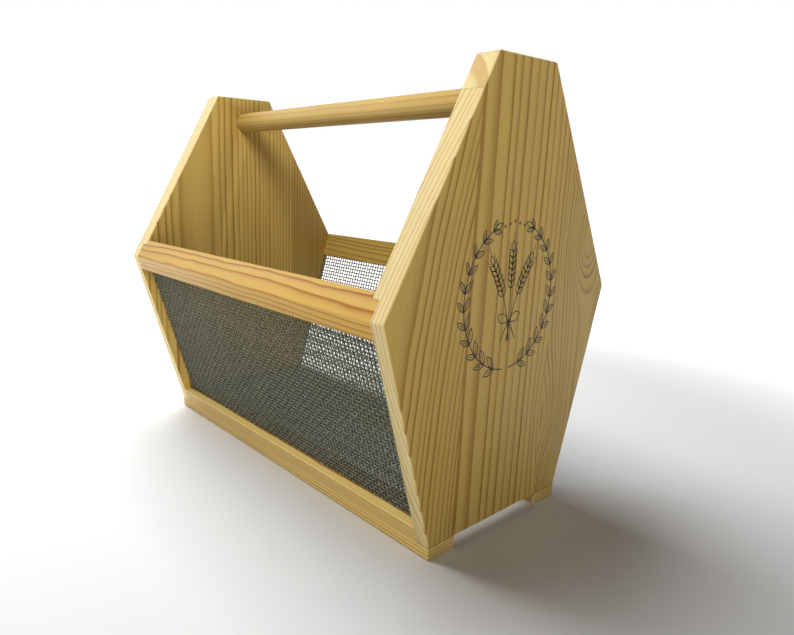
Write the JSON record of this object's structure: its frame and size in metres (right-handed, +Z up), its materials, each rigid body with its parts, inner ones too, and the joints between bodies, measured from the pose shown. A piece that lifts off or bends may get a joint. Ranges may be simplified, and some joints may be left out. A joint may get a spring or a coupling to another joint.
{
  "type": "egg basket",
  "caption": "Open-topped egg basket: hexagonal wooden end panels joined by a round handle bar and long rails, with wire cloth walls and floor.",
  "frame": {"origin": "on the table, under the middle of the basket", "axes": "+X along the basket towards the decorated end panel, +Y towards the back, +Z up"},
  "size_m": [0.364, 0.2346, 0.321],
  "materials": {
    "panel_pine": "clear-coated pine, satin",
    "dowel_pine": "clear-coated pine, satin",
    "rail_pine": "clear-coated pine, satin",
    "foot_pine": "clear-coated pine, satin",
    "wire_cloth": "grey woven wire, dull",
    "staple_steel": "bright steel wire"
  },
  "bodies": {
    "root": {"end_panel_left": "panel_pine", "end_panel_right": "panel_pine", "handle_dowel": "dowel_pine", "front_top_rail": "rail_pine", "back_top_rail": "rail_pine", "front_bottom_rail": "foot_pine", "back_bottom_rail": "foot_pine", "front_mesh": "wire_cloth", "back_mesh": "wire_cloth", "floor_mesh": "wire_cloth", "front_staples": "staple_steel", "back_staples": "staple_steel"}
  },
  "joints": []
}
